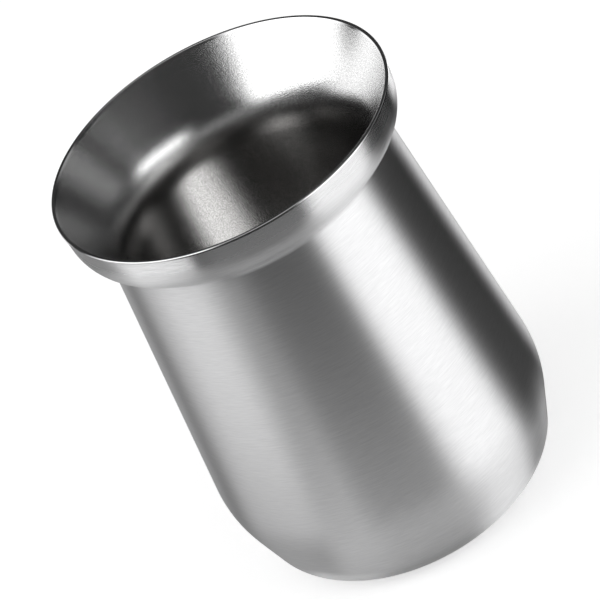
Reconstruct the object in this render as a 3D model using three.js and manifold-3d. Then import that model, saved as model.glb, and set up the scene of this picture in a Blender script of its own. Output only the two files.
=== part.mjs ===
// A double-walled steel mate cup: a flared liner hung inside a brushed shell, welded at the lip and at the base,
// with a vacuum between the two walls. Millimetres, +Z up, origin at the centre of the plane that it stands on.
import * as THREE from "three";
import { mergeVertices } from "three/addons/utils/BufferGeometryUtils.js";
import Module from "manifold-3d";

// Overall size and sheet gauges
const HEIGHT = 105;
const SHELL_WALL = 0.5;
const LINER_WALL = 0.4;
const SEAT_GAP = 0.2; // between two sheets that touch or are welded

// Shell: corners of its outer face before rounding, and the radius of each rounding
const LIP_RADIUS = 39.6; // outside of the lip's bead
const LIP_DROP = 0.9; // the sheet edges stop this far under the lip's crest
const LIP_OVERHANG = 0.2; // the bead stands out over the shell's edge
const EDGE_RADIUS = LIP_RADIUS - LIP_OVERHANG;
const COLLAR_TAPER = 0.7; // the collar's sharp corner, inside its edge
const COLLAR_DROP = 9.5;
const COLLAR_ROUND = 7.2;
const NECK_RADIUS = 33.4;
const NECK_DROP = 12.05;
const NECK_ROUND = 2.2;
const SHOULDER_INSET = 0.2; // the body's widest line is about level with the lip
const SHOULDER_RADIUS = LIP_RADIUS - SHOULDER_INSET;
const SHOULDER_HEIGHT = 19;
const SHOULDER_ROUND = 28;
const SEAM_HEIGHT = 8; // weld between the shell and the base pan

// Base pan: foot ring, recess and the dimple with the evacuation hole
const FOOT_CORNER_RADIUS = 33.3;
const FOOT_ROUND = 8;
const FOOT_INNER_RADIUS = 24.6;
const RECESS_RADIUS = 23.6;
const RECESS_DEPTH = 2.2;
const DIMPLE_RADIUS = 7;
const DIMPLE_FLOOR_RADIUS = 4;
const DIMPLE_DEPTH = 1.4;
const PRESS_ROUND = 0.9; // inside corners of the stamping
const EVACUATION_HOLE_RADIUS = 1;

// Liner: the drinking vessel
const LIP_LAND = 0.6; // upright edge of the liner under the lip
const NECK_CLEARANCE = 1.4; // free space between the funnel and the shell's neck
const THROAT_GAP = 4.4; // vacuum gap at the funnel's foot, before rounding
const THROAT_ROUND = 20;
const INSERT_CLEARANCE = 1; // the liner's belly goes in through the neck with this much to spare
const FLOOR_HEIGHT = 9.5;
const FLOOR_ROUND = 12;

// Radiation shield: copper foil wrapped round the liner
const FOIL_WALL = 0.15;
const FOIL_TOP_DROP = 24; // below the lip
const FOIL_BOTTOM_RISE = 14; // above the liner's floor
const FOIL_SLIT = 1.2; // between the foil's two edges

// Getter: a gas-absorbing pill in a spot-welded pocket on the base pan
const GETTER_RADIUS = 4.2;
const GETTER_THICKNESS = 2;
const GETTER_OFFSET = 15;
const POCKET_WALL = 0.3;
const POCKET_CRIMP = 0.9; // the pocket's rim is turned in over the pill
const SMALL_ROUND = 0.5;

// Base cover: the disc that closes the recess
const COVER_WALL = 0.5;
const COVER_RIM = 1.6; // width of its raised rim

// Facets
const SEGMENTS = 48;
const SMALL_SEGMENTS = 24;
const LIP_FACETS = 6; // across the lip's bead
const FACET_SAG = 0.06; // how far a rounding's flat facets may leave the true arc
const SAME_POINT = 1e-4; // points closer than this are one

const wasm = await Module();
wasm.setup();

const brushedSteel = new THREE.MeshStandardMaterial({ color: 0xb4b4b6, roughness: 0.34, metalness: 1 });
const blastedSteel = new THREE.MeshStandardMaterial({ color: 0x9c9c9b, roughness: 0.42, metalness: 1 });
const polishedSteel = new THREE.MeshStandardMaterial({ color: 0xc8c8ca, roughness: 0.16, metalness: 1 });
const copperFoil = new THREE.MeshStandardMaterial({ color: 0xc98d62, roughness: 0.28, metalness: 1 });
const sinteredPowder = new THREE.MeshStandardMaterial({ color: 0x5c5a58, roughness: 0.85, metalness: 0.6 });
const solderGlass = new THREE.MeshStandardMaterial({ color: 0x38424a, roughness: 0.2, metalness: 0 });

const at = (radius, height, round = 0) => ({ point: new THREE.Vector2(radius, height), round });

// A line through the given corners, each rounded by an arc of its own radius. Where two roundings need more than the
// side between them, they shrink together to share it.
function roundedLine(corners) {
  const sides = corners.slice(1).map(({ point }, i) => point.clone().sub(corners[i].point));
  const turns = corners.map((_, i) => {
    const [arrive, leave] = [sides[i - 1], sides[i]];
    return arrive && leave ? Math.atan2(arrive.cross(leave), arrive.dot(leave)) : 0;
  });
  const wanted = corners.map(({ round }, i) => round * Math.tan(Math.abs(turns[i]) / 2));
  const fits = sides.map((side, i) => Math.min(1, side.length() / (wanted[i] + wanted[i + 1])));
  const line = corners.flatMap(({ point }, i) => {
    if (wanted[i] === 0) return [point.clone()];
    const arrive = sides[i - 1].clone().normalize();
    const tangent = wanted[i] * Math.min(fits[i - 1], fits[i]);
    const radius = tangent / Math.tan(Math.abs(turns[i]) / 2);
    const start = point.clone().addScaledVector(arrive, -tangent);
    const inward = new THREE.Vector2(-arrive.y, arrive.x).multiplyScalar(Math.sign(turns[i]));
    const centre = start.clone().addScaledVector(inward, radius);
    const steps = Math.ceil(Math.abs(turns[i]) / (2 * Math.acos(1 - FACET_SAG / radius)));
    return Array.from({ length: steps + 1 }, (_, k) => start.clone().rotateAround(centre, (turns[i] * k) / steps));
  });
  return line.filter((point, i) => i === 0 || point.distanceTo(line[i - 1]) > SAME_POINT);
}

// The same line moved sideways by a distance, to the left of its direction, with its corners kept mitred. A point on
// the axis stays on it.
function offsetLine(line, distance) {
  return line.map((point, i) => {
    const arrive = point.clone().sub(line[Math.max(i - 1, 0)]).normalize();
    const leave = line[Math.min(i + 1, line.length - 1)].clone().sub(point).normalize();
    const along = arrive.clone().add(leave).normalize();
    const halfTurn = Math.max(along.dot(i === 0 ? leave : arrive), 0.5);
    const moved = new THREE.Vector2(-along.y, along.x).multiplyScalar(distance / halfTurn).add(point);
    return point.x === 0 ? moved.setX(0) : moved;
  });
}

// The point of a line at a height.
function pointAtHeight(line, height) {
  const i = line.findIndex((p, k) => k > 0 && (p.y - height) * (line[k - 1].y - height) <= 0);
  const share = (height - line[i - 1].y) / (line[i].y - line[i - 1].y);
  return line[i - 1].clone().lerp(line[i], share);
}

// The part of a downward line between two heights.
function between(line, top, bottom) {
  const inside = line.filter((p) => p.y < top && p.y > bottom);
  return [pointAtHeight(line, top), ...inside, pointAtHeight(line, bottom)];
}

// The closed section of a sheet: its face, and the same face moved by the wall's thickness.
const sheet = (face, wall) => [...face, ...offsetLine(face, wall).reverse()];

// A section turned round the Z axis. A section off the axis is closed on itself.
function revolve(section, segments = SEGMENTS) {
  const area = THREE.ShapeUtils.area(section);
  const outward = area > 0 ? section.slice() : section.slice().reverse();
  const onAxis = section.some((p) => p.x === 0);
  if (onAxis) {
    const first = outward.findIndex((p, i) => p.x === 0 && outward.at(i - 1).x === 0);
    outward.push(...outward.splice(0, first));
  } else {
    outward.push(outward[0].clone());
  }
  return new THREE.LatheGeometry(outward, segments).rotateX(Math.PI / 2);
}

function piece(name, geometry, material) {
  const mesh = new THREE.Mesh(geometry, material);
  mesh.name = name;
  return mesh;
}

function solidOf(geometry) {
  const bare = geometry.clone();
  bare.deleteAttribute("normal");
  bare.deleteAttribute("uv");
  const merged = mergeVertices(bare, SAME_POINT);
  return new wasm.Manifold(
    new wasm.Mesh({
      numProp: 3,
      vertProperties: merged.attributes.position.array,
      triVerts: new Uint32Array(merged.index.array),
    }),
  );
}

function geometryOf(solid) {
  const mesh = solid.getMesh();
  const geometry = new THREE.BufferGeometry();
  geometry.setAttribute("position", new THREE.BufferAttribute(mesh.vertProperties, 3));
  geometry.setIndex(new THREE.BufferAttribute(mesh.triVerts, 1));
  geometry.computeVertexNormals();
  return geometry;
}

// The cup's outer face, from the lip's edge down to the foot: the shell has it down to the seam, the pan below.
const edgeHeight = HEIGHT - LIP_DROP;
const neckHeight = HEIGHT - NECK_DROP;
const outerFace = roundedLine([
  at(EDGE_RADIUS, edgeHeight),
  at(EDGE_RADIUS - COLLAR_TAPER, HEIGHT - COLLAR_DROP, COLLAR_ROUND),
  at(NECK_RADIUS, neckHeight, NECK_ROUND),
  at(SHOULDER_RADIUS, SHOULDER_HEIGHT, SHOULDER_ROUND),
  at(FOOT_CORNER_RADIUS, 0, FOOT_ROUND),
  at(FOOT_INNER_RADIUS, 0, PRESS_ROUND),
  at(RECESS_RADIUS, RECESS_DEPTH, PRESS_ROUND),
  at(DIMPLE_RADIUS, RECESS_DEPTH, PRESS_ROUND),
  at(DIMPLE_FLOOR_RADIUS, RECESS_DEPTH + DIMPLE_DEPTH, PRESS_ROUND),
  at(EVACUATION_HOLE_RADIUS, RECESS_DEPTH + DIMPLE_DEPTH),
]);
const seamHalf = SHELL_WALL / 2 + SEAT_GAP;
const footStart = outerFace.findIndex((p) => p.y < SEAM_HEIGHT);
const sideFace = outerFace.slice(0, footStart + 1);

function outerShell() {
  const face = between(sideFace, edgeHeight, SEAM_HEIGHT + seamHalf);
  return piece("outer_shell", revolve(sheet(face, -SHELL_WALL)), brushedSteel);
}

function basePan() {
  const top = pointAtHeight(sideFace, SEAM_HEIGHT - seamHalf);
  const face = [top, ...outerFace.slice(footStart)];
  return piece("base_pan", revolve(sheet(face, -SHELL_WALL)), brushedSteel);
}

// The laser weld that fills the seam, ground flush with both sheets.
function baseWeld() {
  const half = SHELL_WALL / 2;
  const face = between(sideFace, SEAM_HEIGHT + half, SEAM_HEIGHT - half);
  return piece("base_weld", revolve(sheet(face, -SHELL_WALL)), brushedSteel);
}

// The liner's vacuum-side face, from the lip down to the middle of its floor. The funnel runs straight from the lip
// past the neck, and rolls over into the wall at the throat.
const linerEdge = new THREE.Vector2(EDGE_RADIUS - SHELL_WALL - SEAT_GAP, edgeHeight);
const neckPass = new THREE.Vector2(NECK_RADIUS - SHELL_WALL - NECK_CLEARANCE, neckHeight);
const throatRadius = NECK_RADIUS - SHELL_WALL - THROAT_GAP;
const funnelTop = edgeHeight - LIP_LAND;
const funnelShare = (linerEdge.x - throatRadius) / (linerEdge.x - neckPass.x);
const throatHeight = funnelTop - funnelShare * (funnelTop - neckPass.y);
const bellyRadius = NECK_RADIUS - SHELL_WALL - INSERT_CLEARANCE;
const underFloor = FLOOR_HEIGHT - LINER_WALL;
const linerFace = roundedLine([
  at(linerEdge.x, linerEdge.y),
  at(linerEdge.x, funnelTop, LIP_LAND),
  at(throatRadius, throatHeight, THROAT_ROUND),
  at(bellyRadius, underFloor, FLOOR_ROUND),
  at(0, underFloor),
]);

function innerLiner() {
  return piece("inner_liner", revolve(sheet(linerFace, -LINER_WALL)), blastedSteel);
}

// The polished weld that caps both sheet edges and makes the lip's bead.
function lipWeld() {
  const inner = linerEdge.x - LINER_WALL;
  const middle = (LIP_RADIUS + inner) / 2;
  const half = (LIP_RADIUS - inner) / 2;
  const foot = edgeHeight + SEAT_GAP;
  const crest = new THREE.EllipseCurve(middle, foot, half, HEIGHT - foot, 0, Math.PI);
  return piece("lip_weld", revolve(crest.getPoints(LIP_FACETS)), polishedSteel);
}

function heatShield() {
  const wall = between(linerFace, HEIGHT - FOIL_TOP_DROP, FLOOR_HEIGHT + FOIL_BOTTOM_RISE);
  const face = offsetLine([wall[0], wall.at(-1)], SEAT_GAP);
  const sleeve = solidOf(revolve(sheet(face, FOIL_WALL)));
  const slit = new THREE.BoxGeometry(LIP_RADIUS, FOIL_SLIT, HEIGHT).translate(LIP_RADIUS / 2, 0, HEIGHT / 2);
  return piece("heat_shield", geometryOf(sleeve.subtract(solidOf(slit))), copperFoil);
}

// The getter's pocket stands on the pan's recess, inside the vacuum, beside the dimple.
const pocketFloor = RECESS_DEPTH + SHELL_WALL + SEAT_GAP;
const pocketInside = GETTER_RADIUS + SEAT_GAP;

function getterPocket() {
  const outside = pocketInside + POCKET_WALL;
  const height = GETTER_THICKNESS + 2 * (POCKET_WALL + SEAT_GAP);
  const face = roundedLine([
    at(0, 0),
    at(outside, 0, SMALL_ROUND),
    at(outside, height, SMALL_ROUND),
    at(outside - POCKET_CRIMP, height),
  ]);
  const geometry = revolve(sheet(face, POCKET_WALL), SMALL_SEGMENTS).translate(GETTER_OFFSET, 0, pocketFloor);
  return piece("getter_pocket", geometry, polishedSteel);
}

function getterPill() {
  const section = roundedLine([
    at(0, 0),
    at(GETTER_RADIUS, 0, SMALL_ROUND),
    at(GETTER_RADIUS, GETTER_THICKNESS, SMALL_ROUND),
    at(0, GETTER_THICKNESS),
  ]);
  const seat = pocketFloor + POCKET_WALL + SEAT_GAP;
  return piece("getter_pill", revolve(section, SMALL_SEGMENTS).translate(GETTER_OFFSET, 0, seat), sinteredPowder);
}

// The bead of solder glass that was melted into the dimple and shut the evacuation hole.
function sealBead() {
  const section = roundedLine([
    at(0, RECESS_DEPTH),
    at(DIMPLE_RADIUS - DIMPLE_DEPTH, RECESS_DEPTH, SMALL_ROUND),
    at(DIMPLE_FLOOR_RADIUS - SEAT_GAP, RECESS_DEPTH + DIMPLE_DEPTH - SEAT_GAP, SMALL_ROUND),
    at(0, RECESS_DEPTH + DIMPLE_DEPTH - SEAT_GAP),
  ]);
  return piece("seal_bead", revolve(section, SMALL_SEGMENTS), solderGlass);
}

// The disc in the recess, bonded by its raised rim to the pan.
function baseCover() {
  const radius = RECESS_RADIUS - PRESS_ROUND - SEAT_GAP;
  const top = RECESS_DEPTH - SEAT_GAP;
  const dish = top - COVER_WALL;
  const face = roundedLine([
    at(radius, top),
    at(radius - COVER_RIM, top, SMALL_ROUND),
    at(radius - COVER_RIM - COVER_WALL, dish, SMALL_ROUND),
    at(0, dish),
  ]);
  return piece("base_cover", revolve(sheet(face, COVER_WALL)), polishedSteel);
}

const mateCup = new THREE.Group();
mateCup.name = "mate_cup";
mateCup.add(outerShell(), lipWeld(), innerLiner(), heatShield());
mateCup.add(basePan(), baseWeld(), getterPocket(), getterPill(), sealBead(), baseCover());

export default mateCup;
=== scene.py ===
# %% [markdown]
# A double-walled steel mate cup, dressed for the camera. The construction comes from CAD: a liner hung in
# a shell, welded to it at the lip, with a pan that closes the base. Blender keeps those pieces at their
# places and replaces the ones that show by smooth, fine meshes with real finishes. Everything here is
# round, so each new piece is one drawn line, turned about the cup's axis.

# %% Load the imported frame
import math

import bmesh
import bpy
from mathutils import Matrix, Vector


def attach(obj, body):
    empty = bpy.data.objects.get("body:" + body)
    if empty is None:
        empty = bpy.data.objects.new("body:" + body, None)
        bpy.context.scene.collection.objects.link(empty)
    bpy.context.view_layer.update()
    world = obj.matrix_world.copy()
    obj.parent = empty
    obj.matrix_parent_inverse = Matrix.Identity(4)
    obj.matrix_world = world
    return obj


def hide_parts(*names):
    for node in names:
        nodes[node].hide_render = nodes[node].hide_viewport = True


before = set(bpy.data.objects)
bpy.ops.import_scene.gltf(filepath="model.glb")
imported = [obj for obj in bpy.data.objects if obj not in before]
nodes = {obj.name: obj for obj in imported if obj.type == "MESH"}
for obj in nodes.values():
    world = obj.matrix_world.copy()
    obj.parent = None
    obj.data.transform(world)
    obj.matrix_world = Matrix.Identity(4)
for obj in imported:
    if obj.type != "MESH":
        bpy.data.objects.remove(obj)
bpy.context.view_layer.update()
scene = bpy.context.scene
print("CAD nodes:", sorted(nodes))

# %% [markdown]
# The camera comes first, because the photograph fixes it. It could be moved by hand until the picture
# fits, but the lip says more: it shows as an ellipse, whose flatness gives how steeply the camera looks
# down, whose tilt gives the roll and whose width gives the distance. A long lens keeps the perspective
# weak, as it is in the photograph.

# %% Camera
MM = 0.001
HEIGHT = 105 * MM
SENSOR_WIDTH = 36
LENS = 270
CAMERA_ELEVATION = math.radians(33.568)
CAMERA_ROLL = math.radians(-29.555)
LIP_IN_VIEW = Vector((-17.543, 35.002, -959.331)) * MM  # the lip's centre, seen from the camera

camera = bpy.data.objects.new("camera", bpy.data.cameras.new("camera"))
camera.data.sensor_width = SENSOR_WIDTH
camera.data.lens = LENS
look_down = Matrix.Rotation(math.pi / 2 - CAMERA_ELEVATION, 4, "X")
roll = Matrix.Rotation(CAMERA_ROLL, 4, "Z")
facing = look_down @ roll
eye = Vector((0, 0, HEIGHT)) - facing @ LIP_IN_VIEW
camera.matrix_world = Matrix.Translation(eye) @ facing
scene.collection.objects.link(camera)
scene.camera = camera
print("camera", round(LIP_IN_VIEW.length, 3), "m from the lip")

# %% [markdown]
# A turned piece starts as a line in the XZ plane. A list of points could hold it, but then every rounding
# is a table of numbers. Here a pen draws it with operators: a straight stretch extrudes the last vertex,
# and a rounding spins that vertex about the rounding's centre.

# %% Pen strokes
STEP = 1.6 * MM  # between two vertices on a straight stretch
ARC_STEP = math.radians(3)  # and on a rounding


def pen_to(mesh, pen, target):
    """Extrudes the pen's vertex along a straight line, in short steps."""
    start = pen.co.copy()
    steps = max(1, math.ceil((target - start).length / STEP))
    for step in range(1, steps + 1):
        pen = bmesh.ops.extrude_vert_indiv(mesh, verts=[pen])["verts"][0]
        pen.co = start.lerp(target, step / steps)
    return pen


def pen_round(mesh, pen, centre, turn):
    """Spins the pen's vertex about a centre. A positive turn goes from +X to +Z."""
    steps = max(2, math.ceil(abs(turn) / ARC_STEP))
    spun = bmesh.ops.spin(
        mesh, geom=[pen], cent=centre, axis=(0, -1, 0), dvec=(0, 0, 0), angle=turn, steps=steps
    )
    return spun["geom_last"][0]


print("pen steps:", STEP / MM, "mm and", round(math.degrees(ARC_STEP)), "degrees")

# %% [markdown]
# A line is given by its corners, as on a workshop drawing: a radius, a height and the rounding at that
# corner. The pen stops where a rounding begins, and the rounding's centre lies square to the stroke. Each
# vertex then notes how far along the line it lies, because brushing follows the surface, and the place in
# space alone doesn't tell that.


# %% Draw a line
def draw_line(mesh, corners):
    """Draws a line through corners (radius, height, rounding), each rounded by an arc."""
    points = [Vector((radius, 0, height)) for radius, height, _ in corners]
    pen = mesh.verts.new(points[0])
    for before, point, after, (_, _, rounding) in zip(points, points[1:], points[2:], corners[1:]):
        arrive = (point - before).normalized()
        leave = (after - point).normalized()
        turn = math.atan2(arrive.x * leave.z - arrive.z * leave.x, arrive.dot(leave))
        tangent = rounding * math.tan(abs(turn) / 2)
        pen = pen_to(mesh, pen, point - arrive * tangent)
        if rounding > 0:
            side = Vector((-arrive.z, 0, arrive.x)) * math.copysign(rounding, turn)
            pen = pen_round(mesh, pen, pen.co + side, turn)
    pen_to(mesh, pen, points[-1])
    along = mesh.verts.layers.float.new("along")
    mesh.verts.ensure_lookup_table()
    for before, after in zip(mesh.verts, mesh.verts[1:]):
        after[along] = before[along] + (after.co - before.co).length


trial = bmesh.new()
draw_line(trial, [(0, 0, 0), (20 * MM, 0, 5 * MM), (20 * MM, 20 * MM, 0)])
print("a trial line with one rounding:", len(trial.verts), "vertices")
trial.free()

# %% [markdown]
# The real sheets are pressed and spun on a lathe. Blender's Screw modifier could turn the line too, but
# the spin operator gives the mesh at once, so its poles can be merged and its faces pointed one way
# before it gets a wall. Solidify then puts the wall behind the drawn face, which keeps its exact shape.

# %% Turn a line
SIDES = 192
SAME_PLACE = 1e-7  # vertices closer than this, in metres, are one


def turned(corners):
    """Draws a line and spins it round the cup's axis. A line that closes on itself makes a solid ring."""
    mesh = bmesh.new()
    draw_line(mesh, corners)
    bmesh.ops.spin(
        mesh, geom=mesh.verts[:] + mesh.edges[:], cent=(0, 0, 0), axis=(0, 0, 1), dvec=(0, 0, 0),
        angle=math.tau, steps=SIDES, use_merge=True,
    )
    bmesh.ops.remove_doubles(mesh, verts=mesh.verts, dist=SAME_PLACE)
    bmesh.ops.dissolve_degenerate(mesh, edges=mesh.edges, dist=SAME_PLACE)
    bmesh.ops.recalc_face_normals(mesh, faces=mesh.faces)
    return mesh


def turned_sheet(corners, wall):
    """A sheet of even thickness: one face drawn and turned, with its wall behind it."""
    mesh = turned(corners)
    bmesh.ops.solidify(mesh, geom=mesh.faces[:], thickness=wall)
    return mesh


print("turned pieces have", SIDES, "sides")

# %% [markdown]
# Each piece ends the same way. Its mesh becomes an object at the origin, smooth but for real edges, which
# rides on the cup and stands for its CAD node. Its slot holds its finish. This could be
# written out for each piece, but one function makes sure that no piece misses a step.

# %% Finish a piece
SHARP_EDGE = math.radians(35)  # a fold that is steeper stays sharp


def new_object(mesh, name, material):
    """Makes a finished mesh an object of the scene."""
    data = bpy.data.meshes.new(name)
    mesh.to_mesh(data)
    mesh.free()
    data.materials.append(material)
    made = bpy.data.objects.new(name, data)
    scene.collection.objects.link(made)
    return made


def finish_piece(mesh, name, node, material):
    """Makes the mesh a piece that stands for a CAD node and rides on the cup."""
    for face in mesh.faces:
        face.smooth = True
    piece = new_object(mesh, name, material)
    piece.data.set_sharp_from_angle(angle=SHARP_EDGE)
    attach(piece, "root")
    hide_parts(node)
    heights = [vertex.co.z / MM for vertex in piece.data.vertices]
    print(f"{name}: {len(heights)} vertices, from {min(heights):.2f} to {max(heights):.2f} mm high")


print("folds over", round(math.degrees(SHARP_EDGE)), "degrees stay sharp")

# %% [markdown]
# Finishes are node trees. They could be wired by hand in the editor, but a script shows them better, as a
# list of what feeds what. A few helpers keep that list short. Numbers that are the same all over a
# surface are set straight on the shader's own sockets.


# %% Node helpers
def feed(tree, node, sockets):
    """Sets a node's sockets. Each takes a value, or another node's output to link."""
    for key, value in sockets.items():
        if isinstance(value, bpy.types.NodeSocket):
            tree.links.new(value, node.inputs[key])
        else:
            node.inputs[key].default_value = value


def add(tree, kind, sockets=None, **settings):
    """Adds a node with its settings and sockets."""
    made = tree.nodes.new(kind)
    for key, value in settings.items():
        setattr(made, key, value)
    feed(tree, made, sockets or {})
    return made


def math_node(tree, operation, a, b=0.0):
    return add(tree, "ShaderNodeMath", {0: a, 1: b}, operation=operation).outputs[0]


def remap(tree, value, low, high, to_low, to_high, curve="LINEAR"):
    """Moves a value from one range to another, and stops it at the ends."""
    sockets = {"Value": value, 1: low, 2: high, 3: to_low, 4: to_high}
    return add(tree, "ShaderNodeMapRange", sockets, interpolation_type=curve).outputs["Result"]


def new_material(name):
    material = bpy.data.materials.new(name)
    material.use_nodes = True
    return material, material.node_tree, material.node_tree.nodes["Principled BSDF"]


print("node helpers ready")

# %% [markdown]
# The marks of brushing, blasting and buffing are uneven but fine. Pictures of them would blur and show
# seams, so all of them come from noise, read at the object's own coordinates, and turned into colours and
# small bumps.

# %% Pattern helpers
NOISE_LOW = 0.3  # nearly all of a noise lies between these two
NOISE_HIGH = 0.7


def object_place(tree):
    return add(tree, "ShaderNodeTexCoord").outputs["Object"]


def height_in(tree, place):
    return add(tree, "ShaderNodeSeparateXYZ", {0: place}).outputs[2]


def noise(tree, vector, scale, detail, roughness=0.5):
    sockets = {"Vector": vector, "Scale": scale, "Detail": detail, "Roughness": roughness}
    return add(tree, "ShaderNodeTexNoise", sockets).outputs["Fac"]


def colour_between(tree, share, dark, light):
    ramp = add(tree, "ShaderNodeValToRGB", {"Fac": share})
    ramp.color_ramp.elements[0].color = (*dark, 1)
    ramp.color_ramp.elements[1].color = (*light, 1)
    return ramp.outputs["Color"]


def bump(tree, height, strength, depth):
    sockets = {"Height": height, "Strength": strength, "Distance": depth}
    return add(tree, "ShaderNodeBump", sockets).outputs["Normal"]


print("patterns use noise from", NOISE_LOW, "to", NOISE_HIGH)

# %% [markdown]
# Brushed steel. An abrasive belt runs round the turning cup, so its scratches are rings: thousands of
# fine lines that circle the axis. Each line spreads a reflection across itself, that is up and down the
# body, and hardly sideways, which is why the photograph shows upright bands. Modelled grooves would need
# millions of faces. Here the shader's anisotropy does the spreading, and a noise that is stretched round
# the axis and packed tightly along the surface draws the lines.

# %% Brushing
LINES_PER_METRE = 4800  # across the brushing
STREAKS_PER_METRE = 260  # along it


def brushing(tree, place):
    """A noise of fine rings: slow round the axis, quick along the drawn line."""
    x, y, _ = add(tree, "ShaderNodeSeparateXYZ", {0: place}).outputs
    along = add(tree, "ShaderNodeAttribute", attribute_name="along").outputs["Fac"]
    stretched = {
        0: math_node(tree, "MULTIPLY", x, STREAKS_PER_METRE),
        1: math_node(tree, "MULTIPLY", y, STREAKS_PER_METRE),
        2: math_node(tree, "MULTIPLY", along, LINES_PER_METRE),
    }
    packed = add(tree, "ShaderNodeCombineXYZ", stretched).outputs[0]
    return noise(tree, packed, scale=1, detail=3, roughness=0.6)


print("brushing:", LINES_PER_METRE * MM, "lines a millimetre")

# %% [markdown]
# The brushed finish uses those lines three times: a light line is a little paler and smoother than a dark
# one, and it stands a hair higher. In the photograph the collar looks smoother near the lip, as the wheel
# that buffs the lip would leave it. A second material there would show a border, so the roughness falls
# gently with the height instead.

# %% Brushed steel
BRUSHED_DARK = (0.622, 0.622, 0.627)
BRUSHED_LIGHT = (0.708, 0.708, 0.713)
BRUSHED_ROUGH = 0.41  # in a dark line
BRUSHED_SMOOTH = 0.37  # in a light one
SPREADING = 0.9
ACROSS_THE_RINGS = 0.25  # a quarter of a turn
LINE_BUMP = 0.03
LINE_DEPTH = 0.02 * MM
BUFFED_FROM = HEIGHT - 6.5 * MM
BUFFED_FULL = HEIGHT - 3 * MM
BUFFING = 0.15  # roughness that the wheel takes away


def brushed_steel():
    material, tree, shader = new_material("brushed_steel")
    place = object_place(tree)
    lines = brushing(tree, place)
    share = remap(tree, lines, NOISE_LOW, NOISE_HIGH, 0, 1)
    rough = remap(tree, lines, NOISE_LOW, NOISE_HIGH, BRUSHED_ROUGH, BRUSHED_SMOOTH)
    buffed = remap(tree, height_in(tree, place), BUFFED_FROM, BUFFED_FULL, 0, BUFFING, "SMOOTHSTEP")
    rings = add(tree, "ShaderNodeTangent", direction_type="RADIAL", axis="Z")
    sockets = {
        "Metallic": 1,
        "Anisotropic": SPREADING,
        "Anisotropic Rotation": ACROSS_THE_RINGS,
        "Tangent": rings.outputs["Tangent"],
        "Base Color": colour_between(tree, share, BRUSHED_DARK, BRUSHED_LIGHT),
        "Roughness": math_node(tree, "SUBTRACT", rough, buffed),
        "Normal": bump(tree, lines, LINE_BUMP, LINE_DEPTH),
    }
    feed(tree, shader, sockets)
    return material


BRUSHED = brushed_steel()
print("made", BRUSHED.name)

# %% [markdown]
# Blasted steel. The inside of the cup was shot with fine glass beads, which dent it all over. It keeps
# soft reflections, but they break up into a fine grain. The dents are too small to model, so a noise with
# no direction stands for them: it varies the colour and the roughness and makes a slight bump. Below the
# throat the colour also darkens: that is painted shade, for the shade that fills the deep bore.

# %% Blasted steel, with painted shade in the bore
DENTS_PER_METRE = 4200
DENT_BUMP = 0.5
DENT_DEPTH = 0.05 * MM
GRAIN_LOW = 0.35  # the noise at which the grain is darkest
GRAIN_HIGH = 0.65
GRAIN_DARK = 0.78
GRAIN_LIGHT = 1.18
# Painted shade: the bore's darker colour stands for the shade deep inside the cup.
BORE_SHADE_COLOUR = (0.46, 0.455, 0.448)
BORE_SHADE_TOP = 84 * MM
FUNNEL_COLOUR = (0.71, 0.71, 0.71)
FUNNEL_FOOT = 92 * MM
BLASTED_SMOOTH = 0.17
BLASTED_ROUGH = 0.22


def blasted_steel():
    material, tree, shader = new_material("blasted_steel")
    place = object_place(tree)
    dents = noise(tree, place, scale=DENTS_PER_METRE, detail=2, roughness=0.6)
    grain = remap(tree, dents, GRAIN_LOW, GRAIN_HIGH, GRAIN_DARK, GRAIN_LIGHT)
    # Painted shade: the colour darkens from the throat down into the bore, where shade falls.
    rise = remap(tree, height_in(tree, place), BORE_SHADE_TOP, FUNNEL_FOOT, 0, 1, "SMOOTHSTEP")
    plain = colour_between(tree, rise, BORE_SHADE_COLOUR, FUNNEL_COLOUR)
    grain_and_bore_shade = add(tree, "ShaderNodeVectorMath", {0: plain, "Scale": grain}, operation="SCALE")
    sockets = {
        "Metallic": 1,
        "Base Color": grain_and_bore_shade.outputs["Vector"],
        "Roughness": remap(tree, dents, NOISE_LOW, NOISE_HIGH, BLASTED_SMOOTH, BLASTED_ROUGH),
        "Normal": bump(tree, dents, DENT_BUMP, DENT_DEPTH),
    }
    feed(tree, shader, sockets)
    return material


BLASTED = blasted_steel()
print("made", BLASTED.name)

# %% [markdown]
# Polished steel. The weld at the lip is ground and buffed until it mirrors, and only faint wheel marks
# are left. A perfect mirror would look drawn, so a noise that is squeezed in height keeps those marks, as
# thin rings.

# %% Polished steel
MARKS_PER_METRE = (90, 90, 5000)  # few round the axis, many up it
MARK_BUMP = 0.06
MARK_DEPTH = 0.02 * MM
POLISHED_DARK = (0.70, 0.70, 0.705)
POLISHED_LIGHT = (0.80, 0.80, 0.805)
POLISHED_SMOOTH = 0.10
POLISHED_ROUGH = 0.18


def polished_steel():
    material, tree, shader = new_material("polished_steel")
    squeezed = add(tree, "ShaderNodeMapping", {"Vector": object_place(tree), "Scale": MARKS_PER_METRE})
    marks = noise(tree, squeezed.outputs["Vector"], scale=1, detail=3)
    sockets = {
        "Metallic": 1,
        "Base Color": colour_between(tree, marks, POLISHED_DARK, POLISHED_LIGHT),
        "Roughness": remap(tree, marks, NOISE_LOW, NOISE_HIGH, POLISHED_SMOOTH, POLISHED_ROUGH),
        "Normal": bump(tree, marks, MARK_BUMP, MARK_DEPTH),
    }
    feed(tree, shader, sockets)
    return material


POLISHED = polished_steel()
print("made", POLISHED.name)

# %% [markdown]
# The shell is the body that the hand holds. Its line runs from the lip over the rolled collar, into the
# crease of the neck, down the widening side, round the shoulder and in towards the base. A cylinder could
# be pulled into this shape, but then no rounding has a radius. One line with three roundings holds all of
# it, drawn on the outer face.

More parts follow.
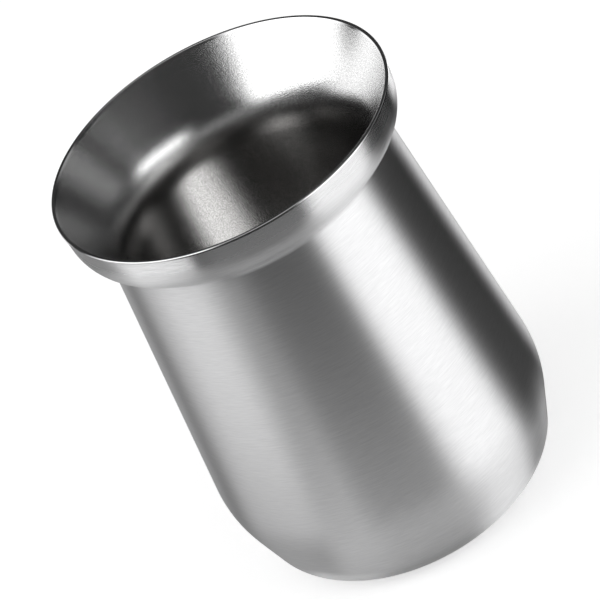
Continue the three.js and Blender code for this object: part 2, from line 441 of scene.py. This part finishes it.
# %% Outer shell
SHELL_WALL = 0.5 * MM
LIP_RADIUS = 39.6 * MM
LIP_HEIGHT = 0.5 * MM
LIP_OVERHANG = 0.2 * MM  # the lip stands this much proud of the collar
COLLAR_LEAN = 0.7 * MM  # the collar's line leans in by this much
EDGE_RADIUS = LIP_RADIUS - LIP_OVERHANG
EDGE_HEIGHT = HEIGHT - LIP_HEIGHT
# Corners: radius, height and rounding.
COLLAR = (EDGE_RADIUS - COLLAR_LEAN, HEIGHT - 9.5 * MM, 7.2 * MM)
NECK = (33.4 * MM, HEIGHT - 12.05 * MM, 2.2 * MM)
SHOULDER = (39.4 * MM, 19 * MM, 28 * MM)
FOOT_CORNER = (33.3 * MM, 0, 8 * MM)
SEAM_HEIGHT = 8 * MM
WELD_HEIGHT = 0.5 * MM


def on_taper(height):
    """A corner on the taper, between the shoulder's corner and the foot's."""
    share = height / SHOULDER[1]
    radius = FOOT_CORNER[0] + share * (SHOULDER[0] - FOOT_CORNER[0])
    return (radius, height, 0)


weld_top = on_taper(SEAM_HEIGHT + WELD_HEIGHT / 2)
shell_line = [(EDGE_RADIUS, EDGE_HEIGHT, 0), COLLAR, NECK, SHOULDER, weld_top]
finish_piece(turned_sheet(shell_line, SHELL_WALL), "shell", "outer_shell", BRUSHED)

# %% [markdown]
# The base seam is the weld between the shell and the pan. It is ground flush and brushed over, so no line
# shows on the real cup. It could be left out, but it is a piece of its own in the construction. A short
# sheet on the same taper stands for it, so the surface runs on without a step.

# %% Base seam
weld_bottom = on_taper(SEAM_HEIGHT - WELD_HEIGHT / 2)
seam = turned_sheet([weld_top, weld_bottom], SHELL_WALL)
finish_piece(seam, "base_seam", "base_weld", BRUSHED)

# %% [markdown]
# The pan closes the vacuum from below. It is pressed from one sheet: the rounded foot, the ring that the
# cup stands on, the recess, and in its middle a dimple with the hole that the air was drawn out through.
# Inset and extruded faces could make the steps, but the same kind of line gives them their press
# roundings too.

# %% Base pan
PRESS_ROUND = 0.9 * MM
RECESS_RADIUS = 23.6 * MM
RECESS_DEPTH = 2.2 * MM
RECESS_SLOPE = 1 * MM  # the recess is this much wider at its mouth
DIMPLE_RADIUS = 7 * MM
DIMPLE_FLOOR_RADIUS = 4 * MM
DIMPLE_DEPTH = 1.4 * MM
HOLE_RADIUS = 1 * MM
dimple_floor = RECESS_DEPTH + DIMPLE_DEPTH
pan_line = [
    weld_bottom,
    FOOT_CORNER,
    (RECESS_RADIUS + RECESS_SLOPE, 0, PRESS_ROUND),
    (RECESS_RADIUS, RECESS_DEPTH, PRESS_ROUND),
    (DIMPLE_RADIUS, RECESS_DEPTH, PRESS_ROUND),
    (DIMPLE_FLOOR_RADIUS, dimple_floor, PRESS_ROUND),
    (HOLE_RADIUS, dimple_floor, 0),
]
finish_piece(turned_sheet(pan_line, SHELL_WALL), "pan", "base_pan", BRUSHED)

# %% [markdown]
# The liner is the vessel that holds the drink: a straight funnel, a wide roll at the throat, the wall and
# the rounded floor. It is drawn on its inner face, the one that shows, and its wall goes to the vacuum's
# side. The funnel's slope is worked out from the lip, so that its line runs on to the crest, as the
# ground weld does on the real cup.

# %% Inner liner
LINER_WALL = 0.4 * MM
LIP_WIDTH = 0.75 * MM
THROAT = (28.1 * MM, 88.66 * MM, 20 * MM)
BELLY = (31.5 * MM, 9.5 * MM, 11.6 * MM)
crest_radius = LIP_RADIUS - LIP_WIDTH
funnel_slope = (crest_radius - THROAT[0]) / (HEIGHT - THROAT[1])
liner_edge = (crest_radius - funnel_slope * (HEIGHT - EDGE_HEIGHT), EDGE_HEIGHT, 0)
liner_line = [liner_edge, THROAT, BELLY, (0, BELLY[1], 0)]
finish_piece(turned_sheet(liner_line, LINER_WALL), "liner", "inner_liner", BLASTED)

# %% [markdown]
# The lip is the weld that joins both sheets, ground to a narrow crest. A torus could stand for it, but
# the real section isn't round: inside it goes on in the funnel's line, outside it stands a hair proud of
# the collar, and its top has two small roundings. So it is a solid ring, whose outline closes on itself
# across the two sheet edges.

# %% Lip
LIP_ROUND = 0.3 * MM
lip_line = [
    liner_edge,
    (LIP_RADIUS, EDGE_HEIGHT, 0),
    (LIP_RADIUS, HEIGHT, LIP_ROUND),
    (crest_radius, HEIGHT, LIP_ROUND),
    liner_edge,
]
finish_piece(turned(lip_line), "lip", "lip_weld", POLISHED)

# %% [markdown]
# The cover is a thin disc in the pan's recess. It hides the dimple, and only its raised rim is bonded to
# the pan. A flat disc would do from afar, but the pressed step catches the light when the cup lies on its
# side. The line is drawn on the upper face, which looks into the recess, and the wall lies below it.

# %% Base cover
SEAT_GAP = 0.2 * MM
COVER_RADIUS = RECESS_RADIUS - PRESS_ROUND - SEAT_GAP
COVER_WALL = 0.5 * MM
COVER_RIM = 1.6 * MM  # width of its raised rim
COVER_ROUND = 0.5 * MM
rim_radius = COVER_RADIUS - COVER_RIM
rim_height = RECESS_DEPTH - SEAT_GAP
dish_height = rim_height - COVER_WALL
cover_line = [
    (0, dish_height, 0),
    (rim_radius - COVER_WALL, dish_height, COVER_ROUND),
    (rim_radius, rim_height, COVER_ROUND),
    (COVER_RADIUS, rim_height, 0),
]
finish_piece(turned_sheet(cover_line, COVER_WALL), "cover", "base_cover", POLISHED)

# %% [markdown]
# Four pieces lie inside the walls: the copper foil that throws heat back, the getter pill that takes up
# the last gas, its pocket, and the bead of solder glass that shuts the hole. A whole cup shows none of
# them. New meshes could be made, but the CAD shapes are fine enough here. The pocket is polished steel,
# and the other three get a mottled colour with a slight bump, so that a cut-open view looks right.

# %% Hidden pieces
MOTTLE_BUMP = 0.3
MOTTLE_DEPTH = 0.05 * MM


def mottled(name, dark, light, metallic, roughness, patches_per_metre):
    material, tree, shader = new_material(name)
    patches = noise(tree, object_place(tree), scale=patches_per_metre, detail=4)
    sockets = {
        "Metallic": metallic,
        "Roughness": roughness,
        "Base Color": colour_between(tree, patches, dark, light),
        "Normal": bump(tree, patches, MOTTLE_BUMP, MOTTLE_DEPTH),
    }
    feed(tree, shader, sockets)
    return material


hidden = {
    "heat_shield": mottled(
        "copper_foil", dark=(0.72, 0.42, 0.28), light=(0.86, 0.56, 0.40),
        metallic=1, roughness=0.25, patches_per_metre=300,
    ),
    "getter_pill": mottled(
        "sintered_powder", dark=(0.10, 0.10, 0.10), light=(0.22, 0.21, 0.20),
        metallic=0.6, roughness=0.85, patches_per_metre=3000,
    ),
    "seal_bead": mottled(
        "solder_glass", dark=(0.02, 0.03, 0.04), light=(0.06, 0.08, 0.09),
        metallic=0, roughness=0.12, patches_per_metre=500,
    ),
    "getter_pocket": POLISHED,
}
for name, material in hidden.items():
    nodes[name].data.materials.clear()
    nodes[name].data.materials.append(material)
print("finished", sorted(hidden))

# %% [markdown]
# The studio's surfaces glow or let rays through, which the usual shader isn't made for. These helpers
# start from an empty tree, mix plain shaders, and tell the rays that show something, from the camera or
# through a reflection or glass, from those that only carry light.

# %% Studio helpers
WHITE = (1, 1, 1, 1)


def bare_material(name):
    material, tree, _ = new_material(name)
    tree.nodes.clear()
    return material, tree


def white_glow(tree, strength):
    return add(tree, "ShaderNodeEmission", {"Color": WHITE, "Strength": strength}).outputs[0]


def mixed(tree, share, first, second):
    """Share 0 shows the first shader, and share 1 the second."""
    return add(tree, "ShaderNodeMixShader", {0: share, 1: first, 2: second}).outputs[0]


def seen_share(tree):
    """1 for a ray that shows something, and 0 for one that only carries light."""
    ray = add(tree, "ShaderNodeLightPath").outputs
    seen = math_node(tree, "ADD", ray["Is Camera Ray"], ray["Is Glossy Ray"])
    seen = math_node(tree, "ADD", seen, ray["Is Transmission Ray"])
    return math_node(tree, "MINIMUM", seen, 1)


print("studio helpers ready")

# %% [markdown]
# The floor is white paper, almost as white as the page. Stronger lamps could make it so, but they would
# deepen the shadow too. A glow of its own lifts the paper instead, shadow and all. Seen from below the
# floor is clear, so that the base can be looked at, and reflections leave it out, because the tent
# further down holds all that steel mirrors.

# %% Floor
FLOOR_COLOUR = 0.8
FLOOR_GLOW = 0.47
FLOOR_SIZE = 6
FLOOR_DROP = 0.05 * MM  # keeps the floor just under the foot


def floor_material():
    material, tree = bare_material("floor_white")
    grey = (FLOOR_COLOUR, FLOOR_COLOUR, FLOOR_COLOUR, 1)
    paper = add(tree, "ShaderNodeBsdfDiffuse", {"Color": grey}).outputs[0]
    lifted = add(tree, "ShaderNodeAddShader", {0: paper, 1: white_glow(tree, FLOOR_GLOW)}).outputs[0]
    upper_side = mixed(tree, seen_share(tree), paper, lifted)
    below = add(tree, "ShaderNodeNewGeometry").outputs["Backfacing"]
    camera_ray = add(tree, "ShaderNodeLightPath").outputs["Is Camera Ray"]
    clear = add(tree, "ShaderNodeBsdfTransparent").outputs[0]
    one_sided = mixed(tree, math_node(tree, "MULTIPLY", below, camera_ray), upper_side, clear)
    add(tree, "ShaderNodeOutputMaterial", {"Surface": one_sided})
    return material


floor_mesh = bmesh.new()
bmesh.ops.create_grid(floor_mesh, x_segments=1, y_segments=1, size=FLOOR_SIZE / 2)
bmesh.ops.translate(floor_mesh, vec=(0, 0, -FLOOR_DROP), verts=floor_mesh.verts)
floor = new_object(floor_mesh, "floor", floor_material())
floor.visible_glossy = False
print("floor", FLOOR_SIZE, "m wide")

# %% [markdown]
# The room round the floor is the world. As light it is a soft fill from all sides, like pale walls. A
# backdrop could hide it from the camera, but it is simpler to show it as light as the far floor, so that
# no horizon can be seen.

# %% World
FILL = 0.55
HORIZON = FLOOR_COLOUR * FILL + FLOOR_GLOW  # the floor's own level, far from the lamps
world = bpy.data.worlds.new("room")
scene.world = world
world.use_nodes = True
room = world.node_tree
room.nodes.clear()
strength = remap(room, seen_share(room), 0, 1, FILL, HORIZON)
sky = add(room, "ShaderNodeBackground", {"Color": WHITE, "Strength": strength})
add(room, "ShaderNodeOutputWorld", {"Surface": sky.outputs[0]})
print("room:", FILL, "as light,", round(HORIZON, 3), "to the eye")

# %% [markdown]
# Two soft boxes light the floor and give the cup its shadow. Point lamps would cast a hard one. The steel
# would mirror the boxes as sharp rectangles, so reflections leave them out, and the tent's soft panels
# stand for them there.

# %% Soft boxes
CUP_MIDDLE = Vector((0, 0, HEIGHT / 2))
BOX_DISTANCE = 0.9
BOX_LEVEL = 1.5
# Azimuth and elevation in degrees, width and height in metres.
SOFT_BOXES = {
    "right_box": (50, 35, 0.6, 0.5),
    "left_box": (-78, 40, 0.85, 0.6),
}


def towards(azimuth, elevation, distance):
    """A place round the cup. Azimuth 0 is the camera's side, and the viewer's right is positive."""
    turn = math.radians(azimuth)
    lift = math.radians(elevation)
    level = distance * math.cos(lift)
    return Vector((level * math.sin(turn), -level * math.cos(turn), distance * math.sin(lift)))


def area_lamp(name, place, aim, width, height, level):
    """A soft rectangle of light at a place, facing an aim. The camera doesn't see it."""
    lamp = bpy.data.lights.new(name, "AREA")
    lamp.shape = "RECTANGLE"
    lamp.size = width
    lamp.size_y = height
    lamp.energy = level * math.pi * width * height
    box = bpy.data.objects.new(name, lamp)
    box.location = place
    box.rotation_euler = (place - aim).to_track_quat("Z", "Y").to_euler()
    box.visible_camera = False
    scene.collection.objects.link(box)
    print(name, "at", [round(c, 3) for c in place])
    return box


for name, (azimuth, elevation, width, height) in SOFT_BOXES.items():
    place = CUP_MIDDLE + towards(azimuth, elevation, BOX_DISTANCE)
    soft_box = area_lamp(name, place, CUP_MIDDLE, width, height, BOX_LEVEL)
    soft_box.visible_glossy = False

# %% [markdown]
# The photograph shows one soft upright streak on the far wall inside the cup. That wall mirrors the
# inside of the near one, so a panel outside can't make it. A glowing card could lean in the cup, but it
# would be one more object inside the drink's place. A small lamp does the same, out of the camera's
# sight.

# %% Lamp inside the cup
INNER_AZIMUTH = 54
INNER_RADIUS = 25 * MM
INNER_HEIGHT = 39 * MM
INNER_LIFT = 15  # how far up it is aimed, in degrees
INNER_WIDTH = 28 * MM
INNER_LENGTH = 46 * MM
INNER_LEVEL = 0.85
INNER_SPREAD = math.radians(110)

inner_place = towards(INNER_AZIMUTH, 0, INNER_RADIUS) + Vector((0, 0, INNER_HEIGHT))
inner_aim = inner_place + towards(INNER_AZIMUTH + 180, INNER_LIFT, 1)
inner_lamp = area_lamp("inner_lamp", inner_place, inner_aim, INNER_WIDTH, INNER_LENGTH, INNER_LEVEL)
inner_lamp.data.spread = INNER_SPREAD

# %% [markdown]
# Steel shows nothing but its surroundings, so these decide how it looks. Photographers hang a tent of
# cloth round shiny things, with lamps behind some panels and black cloth over others. Separate cards
# would show hard edges, so here the panels are painted on one far sphere, each a stretch of azimuth and
# elevation with a soft edge: a bright strip at the right that widens towards the floor, black cloth
# beside it, a broad soft box high at the left, walls and floors of many greys round them. Only
# reflections see the tent, so the background stays white.

# %% Tent panels
TENT_RADIUS = 2
PLAIN_CLOTH = 0.04
# Middle azimuth, half width, lowest and highest elevation and soft edge in degrees, and the level.
# A later panel covers an earlier one.
PANELS = {
    # Painted shade: the grey table stands for the floor in the cup's shade, close under it.
    "table": (0, 200, -91, -48, 18, 0.43),
    "left_floor": (-88, 30, -46, -36, 8, 2.30),
    "left_wall": (-91, 29, -36, 12, 17, 0.72),
    "left_box": (-79, 41.5, 9.5, 54, 17, 2.10),
    "left_gap": (-127, 9, -12, 9, 6, 0.01),
    "back_room": (-149, 17, -14, 11, 10, 1.30),
    "back_floor_left": (-156, 30, -70, -14, 14, 0.32),
    "back_table_right": (157, 30, -58, -40, 6, 1.45),
    "back_floor_right": (146, 13, -33, -12, 6, 1.75),
    "right_strip": (54, 25, -58, 8, 15, 1.28),
    "strip_low": (64, 32, -52, -37, 6, 1.28),
    "strip_foot": (84, 27, -75, -50, 8, 1.05),
    "right_floor": (130, 24, -75, -46, 8, 0.85),
    "strip_head": (47, 24, -10, 20, 6, 3.10),
    "right_cloth": (112.5, 24.5, -42, 14, 7, 0.02),
    "right_haze": (104, 14, 14, 30, 10, 0.36),
    "ceiling": (0, 200, 59, 91, 8, 0.50),
}


def round_the_cup(tree):
    """Azimuth, distance from the axis and height, at each place of a studio surface."""
    x, y, z = add(tree, "ShaderNodeSeparateXYZ", {0: object_place(tree)}).outputs
    azimuth = math_node(tree, "ARCTAN2", x, math_node(tree, "MULTIPLY", y, -1))
    flat = add(tree, "ShaderNodeCombineXYZ", {0: x, 1: y}).outputs[0]
    distance = add(tree, "ShaderNodeVectorMath", {0: flat}, operation="LENGTH").outputs["Value"]
    return azimuth, distance, z


def panel_share(tree, azimuth, elevation, angles):
    """1 inside a panel and 0 outside it, with a soft edge between."""
    middle, half, low, high, soft = (math.radians(angle) for angle in angles)
    turn = math_node(tree, "SUBTRACT", azimuth, middle)
    turn = math_node(tree, "ARCCOSINE", math_node(tree, "COSINE", turn))
    across = remap(tree, turn, half - soft / 2, half + soft / 2, 1, 0, "SMOOTHSTEP")
    over = remap(tree, elevation, low - soft / 2, low + soft / 2, 0, 1, "SMOOTHSTEP")
    under = remap(tree, elevation, high - soft / 2, high + soft / 2, 1, 0, "SMOOTHSTEP")
    return math_node(tree, "MULTIPLY", across, math_node(tree, "MULTIPLY", over, under))


print("panels:", ", ".join(PANELS))

# %% [markdown]
# The tent itself is one sphere round the cup. Its cloth starts dark and lays the panels over each other
# in their order. The camera, the light of the lamps and the shadows pass through it, so it changes
# nothing but what the steel mirrors.

# %% Tent
TENT_RINGS = 32


def tent_cloth():
    material, tree = bare_material("tent_cloth")
    azimuth, distance, height = round_the_cup(tree)
    rise = math_node(tree, "SUBTRACT", height, CUP_MIDDLE.z)
    elevation = math_node(tree, "ARCTAN2", rise, distance)
    level = PLAIN_CLOTH
    for *angles, panel_level in PANELS.values():
        share = panel_share(tree, azimuth, elevation, angles)
        kept = math_node(tree, "MULTIPLY", level, math_node(tree, "SUBTRACT", 1, share))
        level = math_node(tree, "ADD", kept, math_node(tree, "MULTIPLY", share, panel_level))
    add(tree, "ShaderNodeOutputMaterial", {"Surface": white_glow(tree, level)})
    return material


def reflection_only(card):
    """Leaves an object of the studio to reflections alone."""
    card.visible_camera = False
    card.visible_diffuse = False
    card.visible_transmission = False
    card.visible_shadow = False


tent_mesh = bmesh.new()
centred = Matrix.Translation(CUP_MIDDLE)
bmesh.ops.create_uvsphere(
    tent_mesh, u_segments=2 * TENT_RINGS, v_segments=TENT_RINGS, radius=TENT_RADIUS, matrix=centred
)
reflection_only(new_object(tent_mesh, "tent", tent_cloth()))
print("tent with", len(PANELS), "panels,", TENT_RADIUS, "m away")

# %% [markdown]
# The far tent looks the same from the collar and from the foot. The table close to the cup doesn't: the
# lower a place on the body, the nearer the spot of the table that it mirrors. Two glowing sheets on the
# table use this. The one in front makes the body lighter towards its foot. The dimmer one at the left is
# painted shade: it stands for the floor's shade round the foot and darkens the body near its foot there.
# A spun edge makes each sheet, and its cloth fades out at the ends and with the distance, so that no edge
# shows.

# %% Sheets on the table
SHEET_INSIDE = 40 * MM  # from the cup's axis
SHEET_SOFT = math.radians(24)
SHEET_STEPS = 24
# Level, first and last azimuth, the distances where it starts to fade and where it ends, and its height.
SHEETS = {
    "table_sheet": (0.68, -56, 36, 105 * MM, 155 * MM, 1 * MM),
    # Painted shade: a dim sheet for the floor's shade round the foot at the left.
    "left_shade_sheet": (0.26, -165, -32, 60 * MM, 110 * MM, 0.6 * MM),
}


def sheet_cloth(name, level, start, end, fade_from, fade_to):
    """Cloth that glows between two azimuths and fades out over a range of distances."""
    material, tree = bare_material(name)
    azimuth, distance, _ = round_the_cup(tree)
    rise = remap(tree, azimuth, start, start + SHEET_SOFT, 0, 1, "SMOOTHSTEP")
    fall = remap(tree, azimuth, end - SHEET_SOFT, end, 1, 0, "SMOOTHSTEP")
    fade = remap(tree, distance, fade_from, fade_to, 1, 0, "SMOOTHSTEP")
    share = math_node(tree, "MULTIPLY", fade, math_node(tree, "MULTIPLY", rise, fall))
    clear = add(tree, "ShaderNodeBsdfTransparent").outputs[0]
    add(tree, "ShaderNodeOutputMaterial", {"Surface": mixed(tree, share, clear, white_glow(tree, level))})
    return material


for name, (level, first, last, fade_from, fade_to, height) in SHEETS.items():
    sheet = bmesh.new()
    lift = Vector((0, 0, height))
    ends = [sheet.verts.new(towards(first, 0, distance) + lift) for distance in (SHEET_INSIDE, fade_to)]
    edge = sheet.edges.new(ends)
    bmesh.ops.spin(
        sheet, geom=ends + [edge], cent=(0, 0, 0), axis=(0, 0, 1), dvec=(0, 0, 0),
        angle=math.radians(last - first), steps=SHEET_STEPS,
    )
    cloth = sheet_cloth(name, level, math.radians(first), math.radians(last), fade_from, fade_to)
    reflection_only(new_object(sheet, name, cloth))
    print(name, "from azimuth", first, "to", last)

# %% [markdown]
# Last, the plain view transform shows colours as they were written.

# %% Finish
scene.view_settings.view_transform = "Standard"
